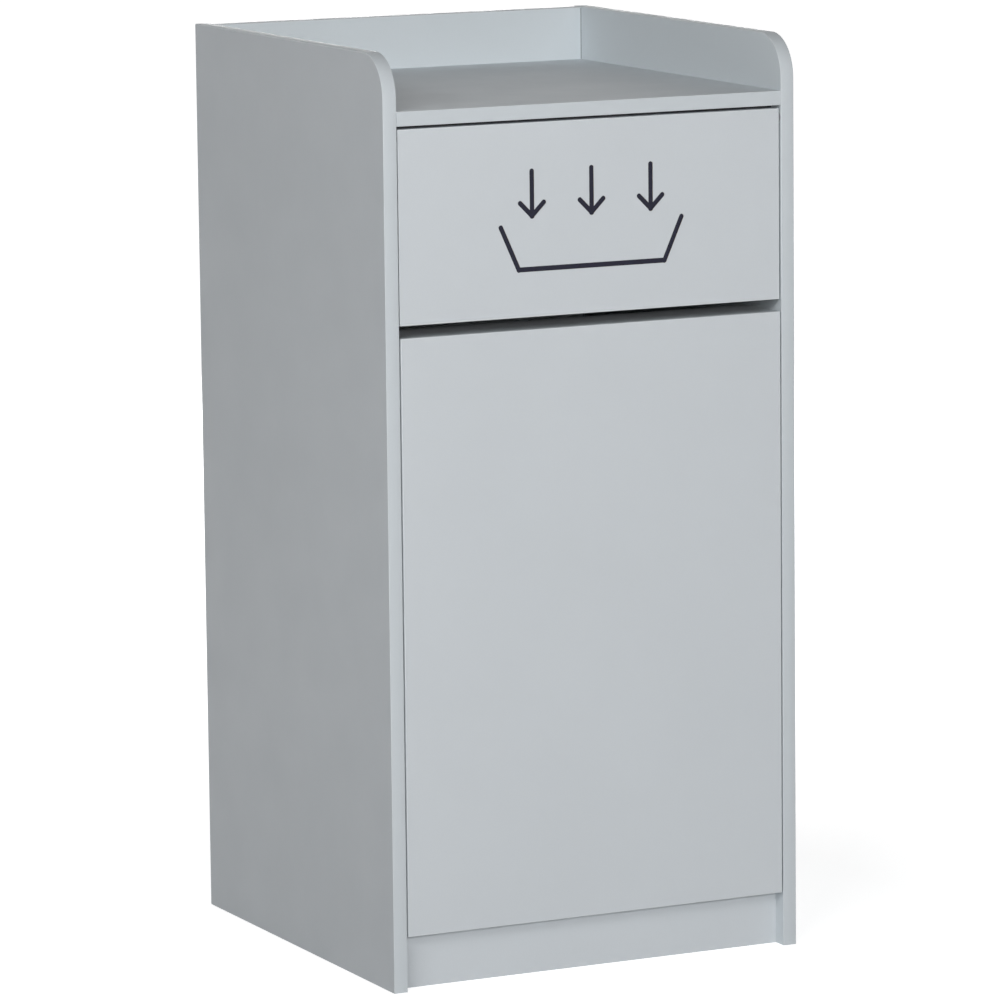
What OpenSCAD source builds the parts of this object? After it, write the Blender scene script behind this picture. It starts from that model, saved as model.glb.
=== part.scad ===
// Tray top waste cabinet of laminated board, with a push flap, an inset door on
// concealed hinges and a rigid inner container.
// Origin: on the floor, midway between the side panels and midway front to back.
// +X to the right seen from the front, +Y to the rear, +Z up. Millimetres.

/* [Cabinet] */
// Width over the side panels
cabinet_w = 594; // [560:1:700]
// Depth of the side panels
cabinet_d = 600; // [560:1:700]
// Height of the side panels
cabinet_h = 1220; // [1180:1:1320]
// Thickness of the laminated boards
board_t = 19; // [18:0.5:20]
// Thickness of the edge bands
band_t = 1; // [0.4:0.1:2]
// Radius of the side panels' upper front corners
corner_r = 57; // [30:1:65]
// Distance from the side panels' rear edges to the back panel
back_inset = 2; // [0:0.5:8]
// Distance from the side panels' tops down to the back panel's top
back_drop = 1; // [0:0.5:8]
// Distance from the side panels' tops down to the tray surface
tray_depth = 73; // [66:1:100]
// Height of the kick plate
kick_h = 75; // [60:1:90]
// Depth of the front rail behind the door's top edge
rail_depth = 70; // [60:1:80]
// Distance from the door's top edge down to the rail's top
rail_drop = 1; // [0.5:0.5:4]

/* [Flap] */
// Height of the push flap
flap_h = 252; // [230:1:280]
// Gap between the tray board and the flap
flap_gap = 4.2; // [4:0.1:6]
// Distance from the side panels' front edges back to the flap's face
flap_recess = 2; // [1:0.5:4]
// Gap beside the flap and beside the door
side_gap = 2; // [1.8:0.1:2.6]
// Distance from the flap's top edge down to its pivot axis
pivot_drop = 12; // [11:0.5:15]
// Diameter of the flap's pivot pins
pin_d = 8; // [6:0.5:9]
// Length of a pivot pin inside the flap
pin_in_flap = 26; // [18:1:40]
// Length of a pivot pin inside its bush
pin_in_bush = 11; // [8:0.5:13]
// Outer diameter of the nylon bushes
bush_d = 13; // [12:0.5:15]
// Depth of the bushes in the side panels
bush_l = 13; // [10:0.5:14]
// Diameter of the bushes' flanges
bush_flange_d = 18; // [16:0.5:20]
// Thickness of the bushes' flanges
bush_flange_t = 1.2; // [0.8:0.1:1.4]
// Height of the stop strip behind the flap's top edge
stop_h = 7; // [6:0.5:8]
// Depth of the stop strip
stop_depth = 18; // [12:1:30]
// Thickness of the soft pads on the stop strip
stop_pad_t = 0.7; // [0.4:0.1:1]
// Length of each soft pad
stop_pad_l = 30; // [15:1:60]

/* [Door] */
// Height of the slot between the flap and the door
slot_h = 16; // [14:0.5:24]
// Height of the door's lower edge above the floor
door_bottom = 73; // [55:1:80]
// Space between the door's back and the frame's front edges
door_gap = 3; // [2.5:0.1:5]
// Diameter of the door bumpers
bumper_d = 9; // [6:0.5:12]
// Distance from the left side panel to the bumpers' centres
bumper_inset = 30; // [20:1:60]

/* [Hinges] */
// Distance from the door's ends to the hinges' centres
hinge_end = 100; // [80:1:140]
// Diameter of the hinge cups
cup_d = 35; // [35:0.1:35.5]
// Depth of the hinge cups
cup_depth = 12.5; // [12:0.1:13]
// Wood left between the door's edge and a cup
cup_tab = 4; // [4:0.1:4.5]
// Wall thickness of the cups
cup_wall = 0.8; // [0.6:0.1:1]
// Thickness of a cup's flange
cup_flange_t = 1.2; // [1:0.1:1.6]
// Distance between a cup's two screws
cup_screw_pitch = 45; // [45:0.5:48]
// Distance from the cup's centre to the line of its screws
cup_screw_offset = 9.5; // [6:0.5:9.5]
// Thickness of the short link
short_link_t = 2.4; // [2:0.1:2.6]
// Thickness of each plate of the arm's nose
nose_t = 1.2; // [1:0.1:1.4]
// Thickness of each long link
long_link_t = 1.4; // [1.2:0.1:1.6]
// Thickness of the cheeks that hold the pins in a cup
cheek_t = 1.6; // [1.2:0.1:2]
// Width of the links between their eyes
link_w = 2.2; // [1.8:0.1:2.4]
// Diameter of the hinge pins
hinge_pin_d = 2.2; // [2:0.1:2.4]
// Clearance between stacked links
layer_gap = 0.3; // [0.2:0.05:0.4]
// Distance from the door's back to the mounting plate's screws
plate_setback = 37; // [35:0.5:40]
// Distance between a mounting plate's screws
plate_screw_pitch = 32; // [28:1:40]
// Length of the hinge arms' channel
arm_l = 52; // [46:1:60]

/* [Catch] */
// Distance from the left side panel to the catch's middle
catch_inset = 108; // [80:1:150]
// Width of the catch housing
catch_w = 46; // [40:1:60]
// Height of the catch housing
catch_h = 14; // [12:0.5:18]
// Depth of the catch housing
catch_depth = 17; // [14:0.5:24]
// Thickness of the catch's pole plates
pole_t = 1.5; // [1:0.1:2]
// Thickness of the strike plate
strike_t = 1.2; // [1:0.1:1.6]

/* [Container] */
// Width over the container's rim
container_w = 460; // [430:1:470]
// Depth over the container's rim
container_d = 480; // [440:1:490]
// Space between the container's rim and the front rail
container_headroom = 82; // [60:1:150]
// Wall thickness of the container
container_wall = 4; // [3:0.5:5]
// Amount by which each side of the container leans in, rim to base
container_taper = 26; // [15:1:35]
// Radius of the container's upright corners
container_r = 55; // [40:1:70]
// Radius between the container's walls and its floor
foot_r = 14; // [8:1:20]
// Width of the container's turned-out rim
rim_w = 14; // [10:1:18]
// Height of the rim's turned-down lip
rim_h = 20; // [14:1:26]
// Radius on the rim's outer edge
rim_edge_r = 3; // [1:0.5:4]
// Width of a hand grip
grip_w = 110; // [95:1:130]
// Height of a hand grip
grip_h = 30; // [26:1:36]
// Number of ribs on each side of the container
ribs = 3; // [2:1:4]
// Width of a rib
rib_w = 22; // [14:1:30]
// Height by which a rib stands out
rib_out = 4; // [2:0.5:6]

/* [Fasteners] */
// Diameter of the cam locks
cam_d = 15; // [14:0.5:16]
// Height of the cam locks
cam_h = 14; // [13.5:0.1:14.5]
// Distance from a board's end to its cam locks' centres
cam_setback = 34; // [24:1:40]
// Diameter of the cam bolts' heads
bolt_head_d = 7; // [6:0.5:7]
// Diameter of the cam bolts' shanks
bolt_d = 5; // [4:0.5:5.5]
// Diameter of the cam bolts' threads
bolt_thread_d = 6; // [5:0.5:6.5]
// Depth of the cam bolts in the side panels
bolt_depth = 11; // [9:0.5:13]
// Diameter of the dowels
dowel_d = 8; // [6:0.5:8]
// Length of the dowels
dowel_l = 30; // [25:1:35]
// Depth of the dowels in the side panels
dowel_depth = 12; // [9:0.5:13]
// Distance between a cam bolt and its dowel
dowel_pitch = 32; // [30:1:34]
// Distance from a board's front or rear edge to its nearest cam bolt
joint_end = 70; // [60:1:90]

/* [Fits] */
// Radial clearance of turning pins
running = 0.05; // [0.03:0.01:0.08]
// Radial clearance of pieces that are pushed into holes
push_fit = 0.1; // [0.05:0.01:0.15]
// Gap at rest between a moving piece and what stops it
stop_gap = 0.3; // [0.2:0.05:0.5]

/* [Hidden] */
$fn = 48;
LEFT = -1;
RIGHT = 1;
cut = 1;

// Planes of the cabinet
side_x = cabinet_w / 2 - board_t;
front_y = -cabinet_d / 2;
back_y = cabinet_d / 2 - back_inset - board_t;
back_top = cabinet_h - back_drop;
tray_top = cabinet_h - tray_depth;
tray_under = tray_top - board_t;
bottom_top = kick_h + board_t;
leaf_x = side_x - side_gap;

// Flap
flap_top = tray_under - flap_gap;
flap_bottom = flap_top - flap_h;
flap_y = front_y + flap_recess;
flap_back_y = flap_y + board_t;
pivot_y = flap_y + board_t / 2;
pivot_z = flap_top - pivot_drop;
pin_bush_floor = 0.5;

// Door and the frame that it closes on
door_top = flap_bottom - slot_h;
door_back_y = front_y + board_t;
frame_y = door_back_y + door_gap;
rail_top = door_top - rail_drop;
rail_under = rail_top - board_t;

// Stop strip
stop_front_y = flap_back_y + stop_gap + stop_pad_t;
stop_pad_h = stop_h - 1;
stop_screw_x = [-220, 0, 220];
stop_screw_d = 3.5;
stop_screw_l = 16;
stop_pad_x = [-190, 190];

// Hinge pivots, each as [distance in from the door's hinge edge, distance behind the door's back]
arm_long_pivot = [34.4, 25];
arm_short_pivot = [25.5, 3.4];
cup_long_pivot = [10, -1.6];
cup_short_pivot = [11.6, -5.2];
long_link_knee = [23.1, -1.4];
short_link_points = [cup_short_pivot, [19.9, -10.2], [27.3, -9.7], arm_short_pivot];
// The short link's eye in the cup is larger than its pin by the play of this free pivot
free_eye_play = 0.5;
eye_wall = 1;
hinge_heights = [door_bottom + hinge_end, door_top - hinge_end];
cup_x = -(cup_tab + cup_d / 2);
short_half = short_link_t / 2;
nose_in = short_half + layer_gap;
nose_out = nose_in + nose_t;
long_in = nose_out + layer_gap;
long_out = long_in + long_link_t;
cheek_in = long_out + layer_gap;
cheek_out = cheek_in + cheek_t;
pin_head_t = 0.5;
pin_head_d = hinge_pin_d + 1.6;
nose_w = 4;
nose_eye_d = 5;
cheek_depth = 9;
cup_flange_d = cup_d + 2;
cheek_reach = 13;
cup_ear_d = 11;
cup_screw_d = 3.5;
cup_screw_l = 13;
cup_screw_head_d = 7;
plate_t = 2;
plate_base_w = 16;
plate_base_h = 50;
plate_rail_w = 11;
plate_front = 28;
plate_screw_d = 5;
plate_screw_head_d = 9;
plate_screw_head_t = 2;
plate_screw_l = 13;
arm_t = 1.4;
arm_web_x = -8;
arm_front = 26;
arm_channel_w = plate_rail_w + 2 * (arm_t + stop_gap);
arm_root = [10.6, 36];
nose_slot_floor = 28;
arm_screw_d = 5;
arm_screw_head_d = 8;
arm_screw_head_t = 2;
arm_screw_places = [16, 38];

// Catch
catch_x = -side_x + catch_inset;
catch_front_y = door_back_y + strike_t + stop_gap;
catch_back_wall = 3;
pole_out = 1;
pole_w = 30;
magnet_t = 5;
magnet_l = catch_depth - catch_back_wall;
catch_z = rail_under - catch_h / 2;
catch_screw_d = 3.5;
catch_screw_head_d = 7;
catch_screw_in_rail = 12;
catch_screw_l = catch_h + catch_screw_in_rail;
catch_screw_x = 18;
strike_w = 34;
strike_h = 13;
strike_screw_x = 11;
strike_screw_l = 12;

// Container
container_h = rail_under - container_headroom - bottom_top;
container_set_back = 12;
container_y = (back_y + frame_y) / 2 + container_set_back;
shoulder_drop = 90;
shoulder_w = 5;
base_h = 6;
base_step = 2;
base_recess = 4;
base_ring_w = 14;
rim_root = 1;
grip_drop = 45;
grip_collar = 7;
grip_collar_t = container_wall + 4;
grip_r = grip_h / 2 - 1;
rib_foot = 30;
rib_top_w = rib_w * 2 / 3;
rib_top_out = rib_out / 2;
slice_t = 0.01;
mould_facets = 32;
round_step = 30;
body_w = container_w - 2 * rim_w;
body_d = container_d - 2 * rim_w;
shoulder_z = container_h - shoulder_drop;

// Fasteners
screw_head_h = 2.2;
cam_slot_w = 1.8;
cam_slot_depth = 3;
cam_slot_l = 9;
bolt_head_l = 3.5;
bolt_hole_d = bolt_head_d + 1;
bolt_neck_d = 3.4;
bolt_neck_l = 4;
BELOW = 0;
FRONT = -90;
REAR = 90;

// Places where a board is bolted to both side panels, as [y, z, side that the cam goes in from]
tray_joints = [for (y = [front_y + joint_end, back_y - joint_end]) [y, tray_top - board_t / 2, BELOW]];
bottom_joints = [for (y = [frame_y + joint_end, back_y - joint_end]) [y, kick_h + board_t / 2, BELOW]];
rail_joints = [[frame_y + (rail_depth - dowel_pitch) / 2, rail_top - board_t / 2, BELOW]];
kick_joints = [[frame_y + board_t / 2, (kick_h - dowel_pitch) / 2, REAR]];
back_low_z = bottom_top + joint_end + dowel_pitch;
back_high_z = tray_under - joint_end;
back_joints = [for (z = [back_low_z, (back_low_z + back_high_z) / 2, back_high_z])
    [back_y + board_t / 2, z, FRONT]];
all_joints = concat(tray_joints, bottom_joints, rail_joints, kick_joints, back_joints);

// General shapes

// A box between two corners
module block(low, high) {
    translate(low) cube(high - low);
}

// A cylinder along Y, from the place where it starts towards the rear
module rod_y(d, l) {
    rotate([-90, 0, 0]) cylinder(d = d, h = l);
}

// A cylinder along X, from the place where it starts towards the right
module rod_x(d, l) {
    rotate([0, 90, 0]) cylinder(d = d, h = l);
}

// A flat bar of even width with round ends that bends at each point
module strap(points, w) {
    for (p = points) translate(p) circle(d = w);
    for (i = [1 : len(points) - 1]) {
        run = points[i] - points[i - 1];
        translate(points[i - 1]) rotate(atan2(run[1], run[0]))
            translate([0, -w / 2]) square([norm(run), w]);
    }
}

// A rectangle with round corners
module round_rect(w, d, r) {
    square([w - 2 * r, d], center = true);
    square([w, d - 2 * r], center = true);
    for (x = [-1, 1], y = [-1, 1]) translate([x * (w / 2 - r), y * (d / 2 - r)]) circle(r = r);
}

// A countersunk screw along +Z, its head's flat face at the origin
module flat_screw(head_d, d, l) {
    cylinder(d1 = head_d, d2 = d, h = screw_head_h);
    cylinder(d = d, h = l);
}

// The hole that a countersunk screw fills
module flat_screw_hole(head_d, d, l) {
    translate([0, 0, -push_fit])
        cylinder(d1 = head_d + 2 * push_fit, d2 = d + 2 * push_fit, h = screw_head_h + push_fit);
    translate([0, 0, -push_fit]) cylinder(d = d + 2 * push_fit, h = l + 2 * push_fit);
}

// Board joints

// Puts its children at a joint: +X points into the side panel, the cam goes in along +Z
module at_joint(joint, side) {
    translate([side * side_x, joint[0], joint[1]]) rotate([joint[2], 0, 0])
        mirror([side == LEFT ? 1 : 0, 0, 0]) children();
}

module joint_cuts_in_board(joints) {
    for (joint = joints, side = [LEFT, RIGHT]) at_joint(joint, side) {
        translate([-cam_setback, 0, -board_t / 2 - cut])
            cylinder(d = cam_d + 2 * push_fit, h = cam_h + push_fit + cut);
        translate([-cam_setback, 0, 0]) rod_x(bolt_hole_d, cam_setback + cut);
        translate([-(dowel_l - dowel_depth) - push_fit, dowel_pitch, 0])
            rod_x(dowel_d + 2 * push_fit, dowel_l);
    }
}

module joint_cuts_in_panel(side) {
    for (joint = all_joints) at_joint(joint, side) {
        translate([-cut, 0, 0]) rod_x(bolt_thread_d + 2 * push_fit, bolt_depth + push_fit + cut);
        translate([-cut, dowel_pitch, 0]) rod_x(dowel_d + 2 * push_fit, dowel_depth + push_fit + cut);
    }
}

module cam_locks() {
    color("silver") for (joint = all_joints, side = [LEFT, RIGHT]) at_joint(joint, side)
        translate([-cam_setback, 0, 0]) difference() {
            translate([0, 0, -board_t / 2]) cylinder(d = cam_d, h = cam_h);
            translate([-bolt_head_l / 2 - push_fit, 0, 0]) rod_x(bolt_head_d + 4 * push_fit, cam_d);
            for (turn = [45, 135]) rotate(turn) translate([0, 0, -board_t / 2])
                cube([cam_slot_l, cam_slot_w, 2 * cam_slot_depth], center = true);
        }
}

module cam_bolts() {
    color("lightsteelblue") for (joint = all_joints, side = [LEFT, RIGHT]) at_joint(joint, side) {
        translate([-cam_setback - bolt_head_l / 2, 0, 0]) rod_x(bolt_head_d, bolt_head_l);
        translate([-cam_setback, 0, 0]) rod_x(bolt_neck_d, bolt_head_l / 2 + bolt_neck_l);
        translate([-cam_setback + bolt_head_l / 2 + bolt_neck_l, 0, 0])
            rod_x(bolt_d, cam_setback - bolt_head_l / 2 - bolt_neck_l);
        rod_x(bolt_thread_d, bolt_depth);
    }
}

module dowels() {
    color("burlywood") for (joint = all_joints, side = [LEFT, RIGHT]) at_joint(joint, side)
        translate([-(dowel_l - dowel_depth), dowel_pitch, 0]) rod_x(dowel_d, dowel_l);
}

// Side panels

// Side view of a panel, drawn inside its real outline by the inset at the front, corner and top
module side_outline(inset) {
    r = corner_r - inset;
    front = front_y + inset;
    top = cabinet_h - inset;
    translate([front, 0]) square([cabinet_d - inset, cabinet_h - corner_r]);
    translate([front + r, 0]) square([cabinet_d - inset - r, top]);
    translate([front + r, top - r]) circle(r = r, $fn = 96);
}

// Stands a side view up as a board
module upright(side) {
    translate([side == LEFT ? -side_x - board_t : side_x, 0, 0]) rotate([90, 0, 90])
        linear_extrude(board_t) children();
}

module bush_hole(side) {
    translate([side * side_x, pivot_y, pivot_z]) mirror([side == LEFT ? 1 : 0, 0, 0])
        translate([-cut, 0, 0]) rod_x(bush_d + 2 * push_fit, bush_l + push_fit + cut);
}

module side_panel(side) {
    color([0.75, 0.77, 0.79]) difference() {
        upright(side) side_outline(band_t);
        joint_cuts_in_panel(side);
        bush_hole(side);
        if (side == RIGHT) plate_screw_holes();
    }
}

module side_edge_band(side) {
    color([0.79, 0.81, 0.83]) upright(side) difference() {
        side_outline(0);
        side_outline(band_t);
        translate([front_y - cut, -cut]) square([cabinet_d + 2 * cut, cut]);
    }
}

module left_side_panel() side_panel(LEFT);
module right_side_panel() side_panel(RIGHT);
module left_side_edge_band() side_edge_band(LEFT);
module right_side_edge_band() side_edge_band(RIGHT);

// Boards between the side panels

module back_panel() {
    color([0.75, 0.77, 0.79]) difference() {
        block([-side_x, back_y, 0], [side_x, back_y + board_t, back_top - band_t]);
        joint_cuts_in_board(back_joints);
    }
}

module back_edge_band() {
    color([0.79, 0.81, 0.83])
        block([-side_x, back_y, back_top - band_t], [side_x, back_y + board_t, back_top]);
}

module tray_board() {
    color([0.72, 0.74, 0.76]) difference() {
        block([-side_x, front_y + band_t, tray_under], [side_x, back_y, tray_top]);
        joint_cuts_in_board(tray_joints);
        stop_screw_holes();
    }
}

module tray_edge_band() {
    color([0.79, 0.81, 0.83])
        block([-side_x, front_y, tray_under], [side_x, front_y + band_t, tray_top]);
}

module bottom_board() {
    color([0.72, 0.74, 0.76]) difference() {
        block([-side_x, frame_y + band_t, kick_h], [side_x, back_y, bottom_top]);
        joint_cuts_in_board(bottom_joints);
    }
}

module bottom_edge_band() {
    color([0.79, 0.81, 0.83])
        block([-side_x, frame_y, kick_h], [side_x, frame_y + band_t, bottom_top]);
}

module front_rail() {
    color([0.72, 0.74, 0.76]) difference() {
        block([-side_x, frame_y + band_t, rail_under], [side_x, frame_y + rail_depth - band_t, rail_top]);
        joint_cuts_in_board(rail_joints);
        catch_screw_holes();
    }
}

// Both long edges of the rail are banded
module rail_edge_band() {
    color([0.79, 0.81, 0.83]) for (y = [frame_y, frame_y + rail_depth - band_t])
        block([-side_x, y, rail_under], [side_x, y + band_t, rail_top]);
}

module kick_plate() {
    color([0.75, 0.77, 0.79]) difference() {
        block([-side_x, frame_y, 0], [side_x, frame_y + board_t, kick_h]);
        joint_cuts_in_board(kick_joints);
    }
}

// Push flap

module flap_pin_holes() {
    for (side = [LEFT, RIGHT])
        translate([side * leaf_x, pivot_y, pivot_z]) mirror([side == LEFT ? 1 : 0, 0, 0])
            translate([-pin_in_flap - push_fit, 0, 0])
                rod_x(pin_d + 2 * push_fit, pin_in_flap + push_fit + cut);
}

module flap_panel() {
    color([0.77, 0.79, 0.81]) difference() {
        block([-leaf_x + band_t, flap_y, flap_bottom + band_t],
              [leaf_x - band_t, flap_back_y, flap_top - band_t]);
        flap_pin_holes();
    }
}

module flap_edge_band() {
    color([0.79, 0.81, 0.83]) difference() {
        block([-leaf_x, flap_y, flap_bottom], [leaf_x, flap_back_y, flap_top]);
        block([-leaf_x + band_t, flap_y - cut, flap_bottom + band_t],
              [leaf_x - band_t, flap_back_y + cut, flap_top - band_t]);
        flap_pin_holes();
    }
}

module flap_pivot_pins() {
    color("silver") for (side = [LEFT, RIGHT])
        translate([side * leaf_x, pivot_y, pivot_z]) mirror([side == LEFT ? 1 : 0, 0, 0])
            translate([-pin_in_flap, 0, 0]) rod_x(pin_d, pin_in_flap + side_gap + pin_in_bush);
}

module flap_bushes() {
    color("whitesmoke") for (side = [LEFT, RIGHT])
        translate([side * side_x, pivot_y, pivot_z]) mirror([side == LEFT ? 1 : 0, 0, 0]) difference() {
            union() {
                rod_x(bush_d, bush_l);
                translate([-bush_flange_t, 0, 0]) rod_x(bush_flange_d, bush_flange_t);
            }
            translate([-bush_flange_t - cut, 0, 0])
                rod_x(pin_d + 2 * running, bush_flange_t + pin_in_bush + pin_bush_floor + cut);
        }
}

// Stop strip that keeps the flap from swinging outwards

module stop_screw_holes() {
    for (x = stop_screw_x) translate([x, stop_front_y + stop_depth / 2, tray_under - stop_h])
        flat_screw_hole(2 * stop_screw_d, stop_screw_d, stop_screw_l);
}

module flap_stop_strip() {
    color("dimgray") difference() {
        block([-side_x + side_gap, stop_front_y, tray_under - stop_h],
              [side_x - side_gap, stop_front_y + stop_depth, tray_under]);
        stop_screw_holes();
    }
}

module flap_stop_pads() {
    color("black") for (x = stop_pad_x)
        block([x - stop_pad_l / 2, stop_front_y - stop_pad_t, tray_under - stop_pad_h],
              [x + stop_pad_l / 2, stop_front_y, tray_under - stop_gap]);
}

module stop_strip_screws() {
    color("silver") for (x = stop_screw_x)
        translate([x, stop_front_y + stop_depth / 2, tray_under - stop_h])
            flat_screw(2 * stop_screw_d, stop_screw_d, stop_screw_l);
}

// Door

module door_panel() {
    color([0.77, 0.79, 0.81]) difference() {
        block([-leaf_x + band_t, front_y, door_bottom + band_t],
              [leaf_x - band_t, door_back_y, door_top - band_t]);
        at_hinges() cup_bore();
        strike_screw_holes();
    }
}

module door_edge_band() {
    color([0.79, 0.81, 0.83]) difference() {
        block([-leaf_x, front_y, door_bottom], [leaf_x, door_back_y, door_top]);
        block([-leaf_x + band_t, front_y - cut, door_bottom + band_t],
              [leaf_x - band_t, door_back_y + cut, door_top - band_t]);
    }
}

module door_bumpers() {
    color("gainsboro") for (z = [kick_h + board_t / 2, rail_top - board_t / 2])
        translate([-side_x + bumper_inset, frame_y - door_gap + stop_gap, z])
            rod_y(bumper_d, door_gap - stop_gap);
}

// Concealed hinges. Their own frame starts at the door's rear edge beside the right
// side panel: +X to that panel, +Y to the rear, +Z up.

function pivot(p) = [-p[0], p[1]];

module at_hinges() {
    for (z = hinge_heights) translate([leaf_x, door_back_y, z]) children();
}

// Makes a flat shape a layer of the hinge, above and below its middle
module layers(low, high) {
    for (m = [0, 1]) mirror([0, 0, m]) translate([0, 0, low]) linear_extrude(high - low) children();
}

module hinge_pin(p, half_l, d = hinge_pin_d) {
    translate([pivot(p)[0], pivot(p)[1], -half_l]) cylinder(d = d, h = 2 * half_l);
}

module cup_screw_places() {
    for (z = [-1, 1]) translate([cup_x - cup_screw_offset, 0, z * cup_screw_pitch / 2]) children();
}

module cup_bore() {
    translate([cup_x, -cup_depth - push_fit, 0]) rod_y(cup_d + 2 * push_fit, cup_depth + push_fit + cut);
    cup_screw_places() translate([0, -cup_screw_l + cup_flange_t, 0])
        rod_y(cup_screw_d + 2 * push_fit, cup_screw_l);
}

module hinge_cup() {
    difference() {
        union() {
            translate([cup_x, -cup_depth, 0]) rod_y(cup_d, cup_depth);
            translate([cup_x, 0, 0]) rod_y(cup_flange_d, cup_flange_t);
            cup_screw_places() rod_y(cup_ear_d, cup_flange_t);
            translate([cup_x - cup_screw_offset - cup_ear_d / 2, 0, -cup_screw_pitch / 2])
                cube([cup_ear_d, cup_flange_t, cup_screw_pitch]);
        }
        translate([cup_x, -cup_depth + cup_wall, 0]) rod_y(cup_d - 2 * cup_wall, cup_depth + cup_flange_t);
        translate([cup_x, -cup_depth + cup_wall, -cheek_in])
            cube([cup_d, cup_depth + cup_flange_t, 2 * cheek_in]);
        cup_screw_places() translate([0, -cut, 0])
            rod_y(cup_screw_d + 2 * push_fit, cup_flange_t + 2 * cut);
    }
    difference() {
        intersection() {
            layers(cheek_in, cheek_out)
                translate([-cheek_reach - cup_tab, -cheek_depth]) square([cheek_reach, cheek_depth]);
            translate([cup_x, -cup_depth, 0]) rod_y(cup_d - cup_wall, cup_depth);
        }
        hinge_pin(cup_long_pivot, 2 * cheek_out);
        hinge_pin(cup_short_pivot, 2 * cheek_out);
    }
}

module hinge_cups() {
    color("silver") at_hinges() hinge_cup();
}

module cup_screws() {
    color("gray") at_hinges() cup_screw_places() {
        translate([0, cup_flange_t, 0]) rod_y(cup_screw_head_d, screw_head_h);
        translate([0, cup_flange_t - cup_screw_l, 0]) rod_y(cup_screw_d, cup_screw_l);
    }
}

// The long links turn on two stub pins, so that the short link can pass between them
module cup_pins() {
    color("gray") at_hinges() {
        for (z = [long_in, -cheek_out]) translate(concat(pivot(cup_long_pivot), z))
            cylinder(d = hinge_pin_d, h = cheek_out - long_in);
        hinge_pin(cup_short_pivot, cheek_out);
    }
}

module long_link() {
    layers(long_in, long_out) difference() {
        union() {
            strap([pivot(cup_long_pivot), pivot(long_link_knee), pivot(arm_long_pivot)], link_w);
            for (p = [cup_long_pivot, arm_long_pivot])
                translate(pivot(p)) circle(d = hinge_pin_d + 2 * eye_wall);
        }
        for (p = [cup_long_pivot, arm_long_pivot]) translate(pivot(p)) circle(d = hinge_pin_d + 2 * running);
    }
}

module long_links() {
    color("lightgray") at_hinges() long_link();
}

module short_link() {
    translate([0, 0, -short_half]) linear_extrude(short_link_t) difference() {
        union() {
            strap([for (p = short_link_points) pivot(p)], link_w);
            translate(pivot(cup_short_pivot)) circle(d = hinge_pin_d + 2 * (free_eye_play + eye_wall));
            translate(pivot(arm_short_pivot)) circle(d = hinge_pin_d + 2 * eye_wall);
        }
        translate(pivot(cup_short_pivot)) circle(d = hinge_pin_d + 2 * free_eye_play);
        translate(pivot(arm_short_pivot)) circle(d = hinge_pin_d + 2 * running);
    }
}

module short_links() {
    color("darkgray") at_hinges() short_link();
}

module hinge_arm() {
    difference() {
        union() {
            translate([0, 0, -nose_out]) linear_extrude(2 * nose_out) {
                strap([pivot(arm_short_pivot), pivot(arm_long_pivot), pivot(arm_root)], nose_w);
                for (p = [arm_short_pivot, arm_long_pivot]) translate(pivot(p)) circle(d = nose_eye_d);
            }
            translate([arm_web_x - arm_t, arm_front, -arm_channel_w / 2])
                cube([arm_t, arm_l, arm_channel_w]);
            layers(plate_rail_w / 2 + stop_gap, arm_channel_w / 2)
                translate([arm_web_x - arm_t, arm_front]) square([-arm_web_x, arm_l]);
        }
        block([-2 * arm_long_pivot[0], -nose_w, -nose_in], [0, nose_slot_floor, nose_in]);
        hinge_pin(arm_long_pivot, 2 * nose_out);
        hinge_pin(arm_short_pivot, 2 * nose_out);
        for (place = arm_screw_places) translate([arm_web_x - arm_t - cut, arm_front + place, 0])
            rod_x(arm_screw_d + 2 * push_fit, arm_t + 2 * cut);
    }
}

module hinge_arms() {
    color("silver") at_hinges() hinge_arm();
}

module arm_pins() {
    color("gray") at_hinges() {
        hinge_pin(arm_long_pivot, long_out + running + pin_head_t);
        for (m = [0, 1]) mirror([0, 0, m])
            translate(concat(pivot(arm_long_pivot), long_out + layer_gap / 2))
                cylinder(d = pin_head_d, h = pin_head_t);
        hinge_pin(arm_short_pivot, nose_out);
    }
}

module arm_screws() {
    color("gray") at_hinges() for (place = arm_screw_places)
        translate([arm_web_x - arm_t, arm_front + place, 0]) {
            translate([-arm_screw_head_t, 0, 0]) rod_x(arm_screw_head_d, arm_screw_head_t);
            rod_x(arm_screw_d, arm_t + plate_t);
        }
}

module plate_screw_places() {
    for (z = [-1, 1]) translate([side_gap, plate_setback, z * plate_screw_pitch / 2]) children();
}

module plate_screw_holes() {
    at_hinges() plate_screw_places() translate([-cut, 0, 0])
        rod_x(plate_screw_d + 2 * push_fit, plate_screw_l - plate_t + push_fit + cut);
}

module mounting_plate() {
    difference() {
        union() {
            translate([side_gap - plate_t, plate_setback - plate_base_w / 2, -plate_base_h / 2])
                cube([plate_t, plate_base_w, plate_base_h]);
            translate([arm_web_x, plate_front, -plate_rail_w / 2])
                cube([side_gap - arm_web_x, arm_l - (plate_front - arm_front), plate_rail_w]);
        }
        plate_screw_places() translate([-plate_t - cut, 0, 0])
            rod_x(plate_screw_d + 2 * push_fit, plate_t + 2 * cut);
        for (place = arm_screw_places) translate([arm_web_x - cut, arm_front + place, 0])
            rod_x(arm_screw_d + 2 * push_fit, plate_t + push_fit + cut);
    }
}

module mounting_plates() {
    color("gray") at_hinges() mounting_plate();
}

module plate_screws() {
    color("silver") at_hinges() plate_screw_places() {
        translate([-plate_t - plate_screw_head_t, 0, 0]) rod_x(plate_screw_head_d, plate_screw_head_t);
        translate([-plate_t, 0, 0]) rod_x(plate_screw_d, plate_screw_l);
    }
}

// Magnetic catch under the front rail

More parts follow.
